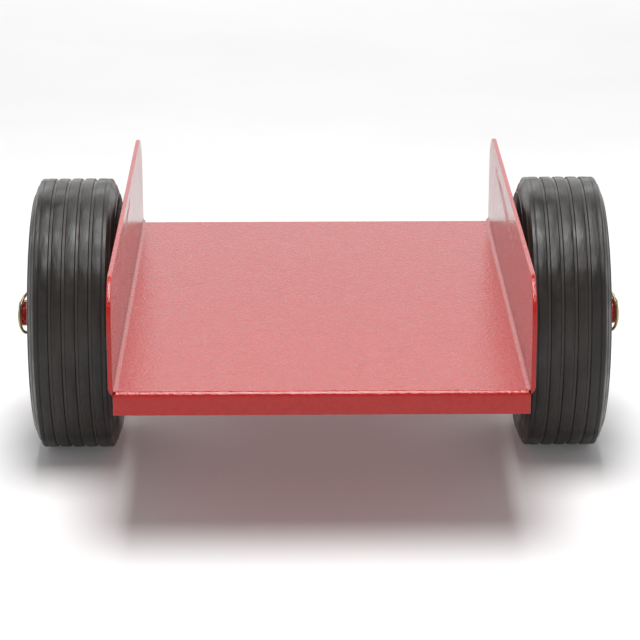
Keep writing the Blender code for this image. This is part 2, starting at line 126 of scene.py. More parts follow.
RIM_FLANGE_HEIGHT = 0.0067
RIM_INSET = 0.0123
RIM_SHEET = 0.0020
RIM_BEND_RADIUS = 0.0060
FLANGE_BEND_RADIUS = 0.0025
HUB_WALL = 0.0035
HUB_ROUND = 0.0008
BOLTS = 4
BOLT_RADIUS = 0.0040
BOLT_LENGTH = 0.0160
BOLT_TIP_RADIUS = 0.0030
BOLT_TIP_LENGTH = 0.0008
BOLT_THREAD_START = 0.0012  # from the tip
BOLT_THREAD_END = 0.0045  # from under the head
BOLT_SHANK_LENGTH = 0.0040
BOLT_HOLE_RADIUS = 0.0044
BOLT_HOLE_REACH = 0.006
HEX_ACROSS_FLATS = 0.0130
HEX_FACE_RADIUS = HEX_ACROSS_FLATS / 2 * 0.95  # of the round face inside the chamfer
HEX_CHAMFER_SLOPE = math.tan(math.radians(30))
BOLT_HEAD_HEIGHT = 0.0053
BOLT_CAP_SHARE = 0.5  # of the face's radius, for the cap in its middle
BOLT_HEAD_COLLAR = 0.0003
NUT_HEIGHT = 0.0065
NUT_BORE_CHAMFER = 0.0006
THREAD_PITCH = 0.00125
THREAD_DEPTH = 0.0006

# Steps round a full turn
TYRE_STEPS = 144
ROUND_STEPS = 72
SMALL_STEPS = 36
HEX_STEPS = 48
WELD_SIDES = 20
WIRE_SIDES = 16

BEVEL_SEGMENTS = 3
BEVEL_ANGLE = math.radians(50)
FASTENER_SHARP_ANGLE = math.radians(32)

# Finishes
RED = (0.375, 0.0115, 0.0082)
RED_DEEP = (0.340, 0.0095, 0.0070)
SCUFF_PALE = (0.74, 0.46, 0.46)
SCUFF_DARK = (0.16, 0.020, 0.022)
SCUFF_STRENGTH = 0.75
FAINT_STRENGTH = 0.35
RUBBER_DARK = (0.0090, 0.0078, 0.0068)
RUBBER_LIGHT = (0.0230, 0.0200, 0.0172)
RUBBER_DUST = (0.058, 0.046, 0.036)
RUBBER_FLECK = (0.11, 0.10, 0.09)
NOISE_LOW = 0.3
NOISE_HIGH = 0.7

# Rub marks inside the side plates: the side, (y, distance below the top) at both ends, and the width
PALE_RUBS = (
    ("left", (0.03, 0.012), (-0.20, 0.030), 0.0062),
    ("left", (-0.02, 0.018), (-0.15, 0.026), 0.0040),
    ("right", (0.18, 0.019), (-0.05, 0.031), 0.0052),
    ("right", (0.13, 0.017), (0.02, 0.021), 0.0030),
)
DARK_RUBS = (
    ("left", (-0.12, 0.026), (-0.24, 0.060), 0.0034),
    ("left", (-0.10, 0.046), (-0.21, 0.072), 0.0028),
    ("right", (0.14, 0.056), (0.05, 0.062), 0.0040),
)

# Floor, light and camera
WHITE = (1.0, 1.0, 1.0, 1.0)
BLACK = (0.0, 0.0, 0.0, 1.0)
FLOOR_REACH = 30.0
FLOOR_PALE = (0.82, 0.82, 0.82)
FLOOR_DEEP = (0.80, 0.80, 0.80)
FLOOR_ROUGHNESS = 0.85
FLOOR_GLOW = 0.05
WALL_RADIUS = 14.0
WALL_HEIGHT = 6.5
WALL_GLOW_REACH = 6.0  # each way from the middle in Y; the glow is even beyond it
WALL_GLOW_REAR = 1.25
WALL_GLOW_FRONT = 0.90
SKY_GLOW = 0.20
KEY_DISTANCE = 2.3
KEY_LEAN = math.radians(15)  # from straight above the tray, towards the front
KEY_POWER = 70.0
KEY_SIZE = (0.8, 2.3)
BACK_LIGHT_PLACE = (0.0, 4.2, 3.0)
BACK_LIGHT_POWER = 150.0
BACK_LIGHT_SIZE = (6.0, 2.0)
CAMERA_PLACE = (-0.0258, -2.6959, 0.9552)
CAMERA_DROP = math.radians(17.127)  # below level
CAMERA_ROLL = math.radians(0.08)
CAMERA_TURN = math.radians(-0.60)
CAMERA_LENS = 163.9

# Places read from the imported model
record = frame["record"]
tray_low, tray_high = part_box("tray")
deck_top = next(m["pos_m"][2] for m in record["mounts"] if m["name"] == "deck_top")
side_height = tray_high.z - deck_top
deck_half = tray_high.x - SHEET / math.cos(SIDE_FLARE) - side_height * math.tan(SIDE_FLARE)
axle_low, axle_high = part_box("axle")
axle_centre = (axle_low + axle_high) / 2
axle_radius = (axle_high.z - axle_low.z) / 2
tyre_low, tyre_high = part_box("left_tyre")
tyre_radius = (tyre_high.z - tyre_low.z) / 2
hub_low, hub_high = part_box("left_hub_tube")
hub_radius = (hub_high.z - hub_low.z) / 2


# Meshes


def add(name, mesh):
    obj = bpy.data.objects.new(name, mesh)
    bpy.context.scene.collection.objects.link(obj)
    return obj


def mesh_from(build, name):
    bm = bmesh.new()
    build(bm)
    bmesh.ops.recalc_face_normals(bm, faces=bm.faces)
    mesh = bpy.data.meshes.new(name)
    bm.to_mesh(mesh)
    bm.free()
    mesh.shade_smooth()
    return mesh


def loft(name, rings, wrap=False):
    """A closed mesh through rings of points; its ends are capped, or joined to each other."""

    def build(bm):
        rows = [[bm.verts.new(point) for point in ring] for ring in rings]
        pairs = list(zip(rows, rows[1:])) + ([(rows[-1], rows[0])] if wrap else [])
        for row, following in pairs:
            for index in range(len(row)):
                bm.faces.new((row[index - 1], row[index], following[index], following[index - 1]))
        if not wrap:
            bm.faces.new(rows[0])
            bm.faces.new(rows[-1])

    return mesh_from(build, name)


def turned(name, section, steps, wrap=False):
    """A section of (radius, x) points turned about the X axis."""
    angles = [2 * math.pi * step / steps for step in range(steps)]
    rings = [[(x, radius * math.cos(a), radius * math.sin(a)) for a in angles] for radius, x in section]
    return loft(name, rings, wrap)


def rod(name, radius, reach):
    """A plain round bar along the X axis, as far each way as its reach."""
    return turned(name, [(radius, -reach), (radius, reach)], SMALL_STEPS)


def swept(name, path, radii, sides):
    """A round bar along a path of points, with a radius at each point."""
    points = [Vector(point) for point in path]
    side = None
    rings = []
    for index, point in enumerate(points):
        ahead = points[min(index + 1, len(points) - 1)]
        behind = points[max(index - 1, 0)]
        along = (ahead - behind).normalized()
        side = side or along.orthogonal()
        side = (side - along * side.dot(along)).normalized()
        up = along.cross(side)
        angles = [2 * math.pi * step / sides for step in range(sides)]
        rings.append([point + (side * math.cos(a) + up * math.sin(a)) * radii[index] for a in angles])
    return loft(name, rings)


def arc(centre, radius, start, end, steps):
    angles = [start + (end - start) * step / steps for step in range(steps + 1)]
    return [(centre[0] + radius * math.cos(a), centre[1] + radius * math.sin(a)) for a in angles]


def softened(points, steps=4, closed=True):
    """The outline of (a, b, radius) points with each corner turned into an arc of its radius."""
    out = []
    for index, (a, b, radius) in enumerate(points):
        is_end = not closed and index in (0, len(points) - 1)
        if not radius or is_end:
            out.append((a, b))
            continue
        corner = Vector((a, b))
        before = Vector(points[index - 1][:2]) - corner
        after = Vector(points[(index + 1) % len(points)][:2]) - corner
        half = before.angle(after) / 2
        cut = min(radius / math.tan(half), 0.49 * before.length, 0.49 * after.length)
        reach = cut / math.cos(half)
        centre = corner + (before.normalized() + after.normalized()).normalized() * reach
        start = corner + before.normalized() * cut - centre
        sweep = start.angle_signed(corner + after.normalized() * cut - centre)
        first = math.atan2(start.y, start.x)
        out += arc(centre, start.length, first, first - sweep, steps)
    return out


def thickened(line, thickness, end_round):
    """The closed outline of a sheet whose middle runs along the line of points."""
    points = [Vector(point) for point in line]
    above, below = [], []
    for index, point in enumerate(points):
        along = (points[min(index + 1, len(points) - 1)] - points[max(index - 1, 0)]).normalized()
        offset = Vector((-along.y, along.x)) * thickness / 2
        radius = end_round if index in (0, len(points) - 1) else 0
        above.append((*(point + offset), radius))
        below.append((*(point - offset), radius))
    return softened(above + below[::-1], 3)


def strip(name, points, low, high, along):
    """An open surface through (x, z) points drawn out along Y, or (y, z) points along X."""

    def build(bm):
        def at(first, height, distance):
            return (distance, first, height) if along == "X" else (first, distance, height)

        near = [bm.verts.new(at(a, b, low)) for a, b in points]
        far = [bm.verts.new(at(a, b, high)) for a, b in points]
        for index in range(len(points) - 1):
            bm.faces.new((near[index], near[index + 1], far[index + 1], far[index]))

    return mesh_from(build, name)


def prism(name, outline, low, high):
    """A closed outline of (y, z) points drawn out along X."""
    return loft(name, [[(x, y, z) for y, z in outline] for x in (low, high)])


# Modifiers


def solidify(obj, thickness):
    """Gives the surface its thickness, under its largest level face."""
    level = max(obj.data.polygons, key=lambda face: face.area * abs(face.normal.z))
    shell = obj.modifiers.new("sheet", "SOLIDIFY")
    shell.thickness = thickness
    shell.offset = -1 if level.normal.z > 0 else 1
    shell.use_even_offset = True


def boolean(obj, other, operation="DIFFERENCE"):
    cut = obj.modifiers.new(other.name, "BOOLEAN")
    cut.operation = operation
    cut.solver = "EXACT"
    cut.object = other


def bevel(obj, width):
    """Rounds the edges where faces meet at more than the bevel angle."""
    edge = obj.modifiers.new("edge", "BEVEL")
    edge.width = width
    edge.segments = BEVEL_SEGMENTS
    edge.limit_method = "ANGLE"
    edge.angle_limit = BEVEL_ANGLE


def baked(obj, helpers=()):
    """The object with its modifiers applied and its helpers gone."""
    graph = bpy.context.evaluated_depsgraph_get()
    obj.data = bpy.data.meshes.new_from_object(obj.evaluated_get(graph))
    obj.modifiers.clear()
    for helper in helpers:
        bpy.data.objects.remove(helper, do_unlink=True)
    obj.data.shade_smooth()
    return obj


def flat_faces_stay_flat(obj):
    obj.modifiers.new("normals", "WEIGHTED_NORMAL").keep_sharp = True


# Nodes


def node(tree, kind, inputs=None, **properties):
    made = tree.nodes.new(f"ShaderNode{kind}")
    for name, value in properties.items():
        setattr(made, name, value)
    for key, value in (inputs or {}).items():
        if isinstance(value, bpy.types.NodeSocket):
            tree.links.new(value, made.inputs[key])
        else:
            made.inputs[key].default_value = value
    return made


def noise(tree, where, scale, detail=2.0, roughness=0.5):
    inputs = {"Vector": where, "Scale": scale, "Detail": detail, "Roughness": roughness}
    return node(tree, "TexNoise", inputs).outputs["Fac"]


def stretched(tree, where, scale):
    return node(tree, "Mapping", {"Vector": where, "Scale": scale}).outputs["Vector"]


def between(tree, value, low, high, to_low=0.0, to_high=1.0):
    """The value brought from one range to another, held at its ends."""
    inputs = {"Value": value, "From Min": low, "From Max": high, "To Min": to_low, "To Max": to_high}
    return node(tree, "MapRange", inputs, interpolation_type="SMOOTHSTEP").outputs["Result"]


def clouds(tree, value, to_low=0.0, to_high=1.0):
    """Noise brought to a range, with its rare lows and highs held at the ends."""
    return between(tree, value, NOISE_LOW, NOISE_HIGH, to_low, to_high)


def maths(tree, operation, first, second=0.0):
    return node(tree, "Math", {0: first, 1: second}, operation=operation).outputs[0]


def product(tree, first, second):
    return maths(tree, "MULTIPLY", first, second)


def strongest(tree, values):
    highest = values[0]
    for value in values[1:]:
        highest = maths(tree, "MAXIMUM", highest, value)
    return highest


def mixed(tree, factor, first, second):
    made = node(tree, "Mix", data_type="RGBA")
    for socket, value in zip((made.inputs[0], made.inputs[6], made.inputs[7]), (factor, first, second)):
        if isinstance(value, bpy.types.NodeSocket):
            tree.links.new(value, socket)
        else:
            socket.default_value = value if isinstance(value, float) else (*value, 1.0)
    return made.outputs[2]


def bump(tree, height, distance, normal=None):
    inputs = {"Height": height, "Distance": distance, "Strength": 1.0}
    if normal:
        inputs["Normal"] = normal
    return node(tree, "Bump", inputs).outputs["Normal"]


def finish(name, metallic=0.0, ior=1.5):
    """A new material: its tree, its shader and the piece's own coordinates."""
    made = bpy.data.materials.new(name)
    made.use_nodes = True
    tree = made.node_tree
    shader = tree.nodes["Principled BSDF"]
    shader.inputs["Metallic"].default_value = metallic
    shader.inputs["IOR"].default_value = ior
    return made, tree, shader, node(tree, "TexCoord").outputs["Object"]


def connect(tree, shader, colour, roughness, normal):
    tree.links.new(colour, shader.inputs["Base Color"])
    tree.links.new(roughness, shader.inputs["Roughness"])
    tree.links.new(normal, shader.inputs["Normal"])


# Finishes


def coat_surface(tree, where):
    """Colour, roughness and normal of the powder coat: orange peel over slow waves."""
    tone = between(tree, noise(tree, where, 240.0, 3.0), 0.35, 0.65)
    colour = mixed(tree, tone, RED_DEEP, RED)
    roughness = clouds(tree, noise(tree, where, 45.0, 3.0), 0.11, 0.16)
    peel = noise(tree, where, 360.0, 2.0, 0.6)
    wave = noise(tree, where, 95.0, 1.5)
    normal = bump(tree, wave, 0.00006)
    return colour, roughness, bump(tree, peel, 0.00045, normal)


def red_coat():
    made, tree, shader, where = finish("red_powder_coat", ior=1.45)
    connect(tree, shader, *coat_surface(tree, where))
    return made


def window(tree, value, low, high, soft):
    """1 between low and high, falling to 0 over soft."""
    rise = between(tree, value, low - soft, low)
    fall = between(tree, value, high, high + soft, 1.0, 0.0)
    return product(tree, rise, fall)


def rub_mark(tree, split, side, start, end, width):
    """A ragged streak inside a side plate, between two points of (y, distance below the plate's top)."""
    start_z = tray_high.z - start[1]
    slope = (tray_high.z - end[1] - start_z) / (end[0] - start[0])
    line = maths(tree, "ADD", product(tree, split["Y"], slope), start_z - slope * start[0])
    above = maths(tree, "SUBTRACT", split["Z"], line)
    mark = between(tree, maths(tree, "ABSOLUTE", above), 0.4 * width, width, 1.0, 0.0)
    level = node(tree, "CombineXYZ", {"X": split["X"], "Y": split["Y"], "Z": above}).outputs["Vector"]
    lines = noise(tree, stretched(tree, level, (1.0, 14.0, 420.0)), 1.0, 2.5, 0.6)
    broken = between(tree, lines, 0.38, 0.50)
    across = product(tree, split["X"], SIDES[side])
    inner = window(tree, across, deck_half - 0.001, deck_half + 0.002, 0.0008)
    along = window(tree, split["Y"], min(start[0], end[0]), max(start[0], end[0]), 0.02)
    return product(tree, product(tree, mark, broken), product(tree, inner, along))


def rub_marks(tree, split, rubs):
    return strongest(tree, [rub_mark(tree, split, *rub) for rub in rubs])


def weld_shadow(tree, split):
    """Faint straight lines on the deck, where the saddles' feet are welded on below it."""
    across = maths(tree, "ABSOLUTE", split["X"])
    low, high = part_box("right_axle_saddle")
    ends = window(tree, across, low.x - 0.004, high.x - 0.006, 0.004)
    lines = []
    for place in ("front", "rear"):
        weld_low, weld_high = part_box(f"right_{place}_weld")
        middle = (weld_low.y + weld_high.y) / 2
        lines.append(window(tree, split["Y"], middle - 0.0005, middle + 0.0005, 0.0012))
    level = window(tree, split["Z"], deck_top - 0.0005, deck_top + 0.0005, 0.0005)
    return product(tree, product(tree, strongest(tree, lines), ends), level)


def tray_coat():
    made, tree, shader, where = finish("tray_powder_coat", ior=1.45)
    colour, roughness, normal = coat_surface(tree, where)
    split = node(tree, "SeparateXYZ", {"Vector": where}).outputs
    pale = rub_marks(tree, split, PALE_RUBS)
    dark = rub_marks(tree, split, DARK_RUBS)
    weld = weld_shadow(tree, split)
    colour = mixed(tree, product(tree, pale, SCUFF_STRENGTH), colour, SCUFF_PALE)
    colour = mixed(tree, product(tree, dark, SCUFF_STRENGTH), colour, SCUFF_DARK)
    colour = mixed(tree, product(tree, weld, FAINT_STRENGTH), colour, SCUFF_DARK)
    specks = node(tree, "TexVoronoi", {"Vector": where, "Scale": 48.0, "Randomness": 1.0})
    spot = between(tree, specks.outputs["Distance"], 0.018, 0.045, 1.0, 0.0)
    colour = mixed(tree, product(tree, spot, FAINT_STRENGTH), colour, SCUFF_DARK)
    roughness = maths(tree, "ADD", roughness, product(tree, pale, 0.45))
    normal = bump(tree, weld, 0.00004, normal)
    connect(tree, shader, colour, roughness, normal)
    return made


def rubber(radius):
    """Moulded solid rubber: dust in the grooves, a fine grain and slow waves round the tread."""
    made, tree, shader, where = finish("black_rubber", ior=1.42)
    split = node(tree, "SeparateXYZ", {"Vector": where}).outputs
    flat = node(tree, "CombineXYZ", {"Y": split["Y"], "Z": split["Z"]}).outputs["Vector"]
    depth = node(tree, "VectorMath", {0: flat}, operation="LENGTH").outputs["Value"]
    turn = maths(tree, "ARCTAN2", split["Z"], split["Y"])
    along = product(tree, turn, radius)
    unrolled = node(tree, "CombineXYZ", {"X": split["X"], "Y": along, "Z": depth}).outputs["Vector"]
    cloud = noise(tree, where, 26.0, 4.0, 0.6)
    band = noise(tree, stretched(tree, unrolled, (420.0, 14.0, 60.0)), 1.0, 3.0)
    tone = product(tree, clouds(tree, cloud), clouds(tree, band, 0.5, 1.0))
    colour = mixed(tree, tone, RUBBER_DARK, RUBBER_LIGHT)
    in_groove = between(tree, depth, radius - GROOVE_DEPTH, radius - GROOVE_DEPTH * 0.3, 1.0, 0.0)
    on_tread = between(tree, depth, radius - SHOULDER_DEPTH, radius - SHOULDER_DEPTH * 0.5)
    dust = product(tree, product(tree, in_groove, on_tread), FAINT_STRENGTH)
    colour = mixed(tree, dust, colour, RUBBER_DUST)
    flecks = node(tree, "TexVoronoi", {"Vector": where, "Scale": 150.0, "Randomness": 1.0})
    fleck = between(tree, flecks.outputs["Distance"], 0.03, 0.08, 1.0, 0.0)
    colour = mixed(tree, product(tree, fleck, FAINT_STRENGTH), colour, RUBBER_FLECK)
    roughness = clouds(tree, noise(tree, where, 38.0, 3.0), 0.30, 0.50)
    swell = noise(tree, stretched(tree, unrolled, (130.0, 34.0, 60.0)), 1.0, 2.0)
    normal = bump(tree, swell, 0.0007)
    normal = bump(tree, noise(tree, where, 1100.0, 2.0), 0.00006, normal)
    connect(tree, shader, colour, roughness, normal)
    return made


def clouded(name, light, dark, rough_low, rough_high, metallic):
    """Plating, paint or plain nylon: cloudy tone, uneven gloss and a fine grain."""
    made, tree, shader, where = finish(name, metallic)
    cloud = clouds(tree, noise(tree, where, 70.0, 4.0, 0.6))
    roughness = clouds(tree, noise(tree, where, 160.0, 3.0), rough_low, rough_high)
    normal = bump(tree, noise(tree, where, 900.0), 0.00003)
    connect(tree, shader, mixed(tree, cloud, dark, light), roughness, normal)
    return made


def floor_finish():
    """A matt pale floor; its faint even glow fills the shadow a little."""
    made, tree, shader, where = finish("pale_floor")
    tone = clouds(tree, noise(tree, where, 3.0, 4.0))
    colour = mixed(tree, tone, FLOOR_DEEP, FLOOR_PALE)
    normal = bump(tree, noise(tree, where, 220.0, 2.0), 0.00005)
    shader.inputs["Roughness"].default_value = FLOOR_ROUGHNESS
    shader.inputs["Specular IOR Level"].default_value = 0.0
    shader.inputs["Emission Color"].default_value = WHITE
    shader.inputs["Emission Strength"].default_value = FLOOR_GLOW
    tree.links.new(colour, shader.inputs["Base Color"])
    tree.links.new(normal, shader.inputs["Normal"])
    return made


finishes = {
    "red_powder_coat": red_coat(),
    "black_rubber": rubber(tyre_radius),
    "grey_rim_paint": clouded("grey_rim_paint", (0.50, 0.51, 0.52), (0.40, 0.41, 0.42), 0.30, 0.46, 0.6),
    "bright_zinc": clouded("bright_zinc", (0.66, 0.67, 0.69), (0.50, 0.51, 0.53), 0.22, 0.38, 1.0),
    "yellow_zinc": clouded("yellow_zinc", (0.44, 0.35, 0.16), (0.28, 0.26, 0.14), 0.20, 0.34, 1.0),
    "white_nylon": clouded("white_nylon", (0.76, 0.74, 0.67), (0.66, 0.63, 0.55), 0.40, 0.55, 0.0),
}


def stand_for(obj, node_name, material=None):
    """Puts the piece in its node's place: on its body and with its slot's finish, or the finish given."""
    body = next(name for name, nodes in record["behaviour"]["bodies"].items() if node_name in nodes)
    slot = next(part["material_slot"] for part in record["subparts"] if part["node"] == node_name)
    obj.data.materials.clear()
    obj.data.materials.append(material or finishes[slot])
    flat_faces_stay_flat(obj)
    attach(obj, body)
    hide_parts(node_name)


# Tray


def side_corner(name, edge, inward):
    """What rounds off both side plates at their top corners."""
    centre = (edge + inward * CORNER_RADIUS, tray_high.z - CORNER_RADIUS)
    start = math.pi if inward > 0 else 0.0
    outside = edge - inward * SHEET
    outline = arc(centre, CORNER_RADIUS, start, math.pi / 2, 36)
    outline += [(centre[0], tray_high.z + SHEET), (outside, tray_high.z + SHEET), (outside, centre[1])]
    reach = tray_high.x + SHEET
    return add(name, prism(name, outline, -reach, reach))


def lip_notch(name, edge, inward):
    """What clears the sheet's end, between the side plates, for the fold of a lip."""
    near, far = sorted((edge - inward * SHEET, edge + inward * LIP_BEND_RADIUS))
    top = deck_top + LIP_RELIEF
    outline = [(near, deck_top - 2 * SHEET), (far, deck_top - 2 * SHEET), (far, top), (near, top)]
    return add(name, prism(name, outline, -deck_half, deck_half))


def lip(name, edge, inward):
    """The sheet's end, folded down."""
    reach = edge + inward * 2 * LIP_BEND_RADIUS
    line = [(reach, deck_top, 0), (edge, deck_top, LIP_BEND_RADIUS), (edge, tray_low.z, 0)]
    obj = add(name, strip(name, softened(line, 14, closed=False), -deck_half, deck_half, "X"))
    solidify(obj, SHEET)
    bevel(obj, EDGE_ROUND)
    return obj


def make_tray():
    top_half = deck_half + side_height * math.tan(SIDE_FLARE)
    line = [
        (-top_half, tray_high.z, 0),
        (-deck_half, deck_top, SIDE_BEND_RADIUS),
        (deck_half, deck_top, SIDE_BEND_RADIUS),
        (top_half, tray_high.z, 0),
    ]
    across = softened(line, 12, closed=False)
    tray = add("tray_form", strip("tray_form", across, tray_low.y, tray_high.y, "Y"))
    solidify(tray, SHEET)
    ends = (("front", tray_low.y, 1), ("rear", tray_high.y, -1))
    helpers = [side_corner(f"{place}_corner", edge, inward) for place, edge, inward in ends]
    for helper in helpers:
        boolean(tray, helper)
    bevel(tray, EDGE_ROUND)
    for place, edge, inward in ends:
        notch = lip_notch(f"{place}_notch", edge, inward)
        fold = lip(f"{place}_lip", edge, inward)
        boolean(tray, notch)
        boolean(tray, fold, "UNION")
        helpers += [notch, fold]
    stand_for(baked(tray, helpers), "tray", tray_coat())


# Axle, saddles and welds


def make_axle():
    half = axle_high.x
    chamfered = axle_radius - AXLE_CHAMFER
    section = [
        (chamfered, half, 0),
        (axle_radius, half - AXLE_CHAMFER, AXLE_EDGE_ROUND),
        (axle_radius, AXLE_CHAMFER - half, AXLE_EDGE_ROUND),
        (chamfered, -half, 0),
    ]
    axle = add("axle_form", turned("axle_form", softened(section, 4, closed=False), ROUND_STEPS))
    axle.location = axle_centre
    helpers = []
    for side in SIDES:
        x = pin_axis(side).x
        hole = rod(f"{side}_hole", PIN_RADIUS + PIN_GAP, AXLE_HOLE_REACH)
        hole.transform(Matrix.Rotation(math.pi / 2, 4, "Z"))
        cutter = add(f"{side}_hole", hole)
        cutter.location = (x, axle_centre.y, axle_centre.z)
        boolean(axle, cutter)
        helpers.append(cutter)
    bpy.context.view_layer.update()
    stand_for(baked(axle, helpers), "axle")


def make_saddle(side):
    low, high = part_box(f"{side}_axle_saddle")
    centre = (low.y + high.y) / 2
    foot = high.z - SADDLE_SHEET / 2
    bend = SADDLE_BEND_RADIUS - SADDLE_SHEET / 2
    wall = axle_radius + FIT_GAP + SADDLE_SHEET / 2
    line = [(high.y, foot, 0), (centre + wall, foot, bend), (centre + wall, axle_centre.z, 0)]
    rear = softened(line, 10, closed=False)
    under = arc((centre, axle_centre.z), wall, 0, -math.pi, 28)[1:-1]
    front = [(2 * centre - y, z) for y, z in reversed(rear)]
    outline = thickened(rear + under + front, SADDLE_SHEET, 0)
    saddle = add(f"{side}_axle_saddle_form", prism("saddle", outline, low.x, high.x))
    bevel(saddle, SADDLE_EDGE_ROUND)
    stand_for(baked(saddle), f"{side}_axle_saddle")


def make_weld(side, place):
    """A fillet of overlapping ripples along a saddle's foot."""
    low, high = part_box(f"{side}_{place}_weld")
    centre = (low + high) / 2
    radius = (high.z - low.z) / 2 + FIT_GAP * 0.8
    steps = WELD_STEPS_PER_RIPPLE * round((high.x - low.x) / WELD_RIPPLE)
    path, radii = [], []
    for step in range(steps + 1):
        share = step / steps
        ripple = abs(math.sin(math.pi * share * (high.x - low.x) / WELD_RIPPLE))
        ends = min(1.0, WELD_END_SHARE + WELD_END_RISE * min(share, 1 - share))
        sway = sum(reach * math.sin(rate * share) for reach, rate in WELD_SWAYS)
        path.append((low.x + share * (high.x - low.x), centre.y + sway, centre.z))
        radii.append((radius - WELD_RIPPLE_HEIGHT * (1 - ripple)) * math.sqrt(ends))
    name = f"{side}_{place}_weld"
    stand_for(add(f"{name}_form", swept(name, path, radii, WELD_SIDES)), name)


# Wheels


def tread_section(radius):
    """The ribs, the grooves between them and the thin line near each edge, as (radius, x, rounding)."""
    groove = (GROOVE_WIDTH, GROOVE_FLOOR_WIDTH, GROOVE_DEPTH)
    line = (SHOULDER_LINE_WIDTH, SHOULDER_LINE_WIDTH / 2, SHOULDER_LINE_DEPTH)
    cuts = [((index - (GROOVES - 1) / 2) * GROOVE_PITCH, groove) for index in range(GROOVES)]
    cuts = [(-SHOULDER_LINE, line)] + cuts + [(SHOULDER_LINE, line)]
    points = []
    for place, (width, floor, depth) in reversed(cuts):
        points += [
            (radius - RIB_CROWN, place + width / 2, 0.0004),
            (radius - depth, place + floor / 2, 0.0003),
            (radius - depth, place - floor / 2, 0.0003),
            (radius - RIB_CROWN, place - width / 2, 0.0004),
        ]
    ribs = []
    for first, second in zip(points, points[1:]):
        ribs.append(first)
        if first[1] - second[1] > GROOVE_WIDTH:
            middle = (first[1] + second[1]) / 2
            quarter = (first[1] - second[1]) / 4
            ribs += [(radius - RIB_CROWN / 4, middle + quarter, 0), (radius, middle, 0)]
            ribs += [(radius - RIB_CROWN / 4, middle - quarter, 0)]
    return ribs + [points[-1]]


def ridge(radius, x, slope, width, height):
    """A low moulded line that stands out of the side wall."""
    return [
        (radius, x, 0.0003),
        (radius + width * 0.3, x + slope * width * 0.3 + height, 0.0003),
        (radius + width * 0.7, x + slope * width * 0.7 + height, 0.0003),
        (radius + width, x + slope * width, 0.0003),
    ]


def tyre_section(radius, half):
    """A closed section of the tyre: up its outer side, over the tread and down its inner side."""
    bead_half = half - RIM_INSET - FIT_GAP
    bore = RIM_SEAT_RADIUS + FIT_GAP
    flange = RIM_SEAT_RADIUS + RIM_FLANGE_HEIGHT
    bead = flange + BEAD_HEIGHT
    widest = radius - SIDEWALL_DEPTH
    band = widest - SIDEWALL_HEIGHT
    slope = (BEAD_INSET - SIDEWALL_STEP) / (band - bead)
    shoulder = radius - SHOULDER_DEPTH
    cone = (TREAD_INSET - SHOULDER_INSET) / (SHOULDER_DEPTH - TREAD_CHAMFER)
    side = [
        (bore, bead_half - FLANGE_BEND_RADIUS, 0.0006),
        (bore + FLANGE_BEND_RADIUS, bead_half, 0.0008),
        (flange + FIT_GAP, bead_half, 0.0008),
        (bead, half - BEAD_INSET, 0.0020),
    ]
    for above in SIDEWALL_LINES:
        x = half - BEAD_INSET + slope * above
        side += ridge(bead + above, x, slope, *SIDEWALL_LINE)
    side += [
        (band, half - SIDEWALL_STEP, 0.0005),
        (band + SIDEWALL_STEP, half - BAND_INSET, 0.0008),
    ]
    side += ridge(band + BAND_LINE_START, half - BAND_INSET, 0.0, *BAND_LINE)
    side += [(widest, half - BAND_INSET, 0.0020)]
    fall = SHOULDER_INSET / (shoulder - widest)
    side += ridge(widest + FALL_LINE_START, half - FALL_LINE_START * fall, -fall, *FALL_LINE)
    side += [(shoulder, half - SHOULDER_INSET, 0.0012)]
    x = half - SHOULDER_INSET - SHOULDER_RIDGE_START * cone
    side += ridge(shoulder + SHOULDER_RIDGE_START, x, -cone, *SHOULDER_RIDGE)
    side += [
        (radius - TREAD_CHAMFER, half - TREAD_INSET, 0.0006),
        (radius - RIB_CROWN, half - TREAD_INSET - TREAD_CHAMFER, 0.0006),
    ]
    return softened(side + tread_section(radius) + [(r, -x, soft) for r, x, soft in reversed(side)], 3)


def rim_section(half):
    """A closed section of one pressed half of the rim, from the hub to the flange."""
    seat = RIM_SEAT_RADIUS - RIM_SHEET / 2
    disc = FIT_GAP / 2 + RIM_SHEET / 2
    flange = half - RIM_INSET + RIM_SHEET / 2
    line = [
        (hub_radius + FIT_GAP, disc, 0),
        (seat, disc, RIM_BEND_RADIUS),
        (seat, flange, FLANGE_BEND_RADIUS),
        (RIM_SEAT_RADIUS + RIM_FLANGE_HEIGHT, flange, 0),
    ]
    return thickened(softened(line, 8, closed=False), RIM_SHEET, 0.0005)


def make_wheel(side):
    sign = SIDES[side]
    low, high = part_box(f"{side}_tyre")
    centre = Vector(((low.x + high.x) / 2, axle_centre.y, axle_centre.z))
    half = (high.x - low.x) / 2
    section = tyre_section((high.z - low.z) / 2, half)
    tyre = add(f"{side}_tyre_form", turned("tyre", section, TYRE_STEPS, wrap=True))
    tyre.location = centre
    stand_for(tyre, f"{side}_tyre")

    holes = []
    for index, (node_low, node_high) in enumerate(bolt_boxes(side)):
        hole = add(f"{side}_bolt_hole_{index}", rod("hole", BOLT_HOLE_RADIUS, BOLT_HOLE_REACH))
        hole.location = (centre.x, (node_low.y + node_high.y) / 2, (node_low.z + node_high.z) / 2)
        holes.append(hole)
    for place, direction in (("outer", 1), ("inner", -1)):
        outline = [(radius, sign * direction * x) for radius, x in rim_section(half)]
        rim = add(f"{side}_rim_{place}_form", turned("rim", outline, ROUND_STEPS, wrap=True))
        rim.location = centre
        for hole in holes:
            boolean(rim, hole)
        stand_for(baked(rim), f"{side}_rim_{place}_half")
    for hole in holes:
        bpy.data.objects.remove(hole, do_unlink=True)

    low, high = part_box(f"{side}_hub_tube")
    radius = (high.z - low.z) / 2
    length = (high.x - low.x) / 2
    outline = [(r, x, HUB_ROUND) for r, x in ring_corners(radius - HUB_WALL, radius, length)]
    hub = add(f"{side}_hub_form", turned("hub", softened(outline), ROUND_STEPS, wrap=True))
    hub.location = ((low.x + high.x) / 2, centre.y, centre.z)
    stand_for(hub, f"{side}_hub_tube")


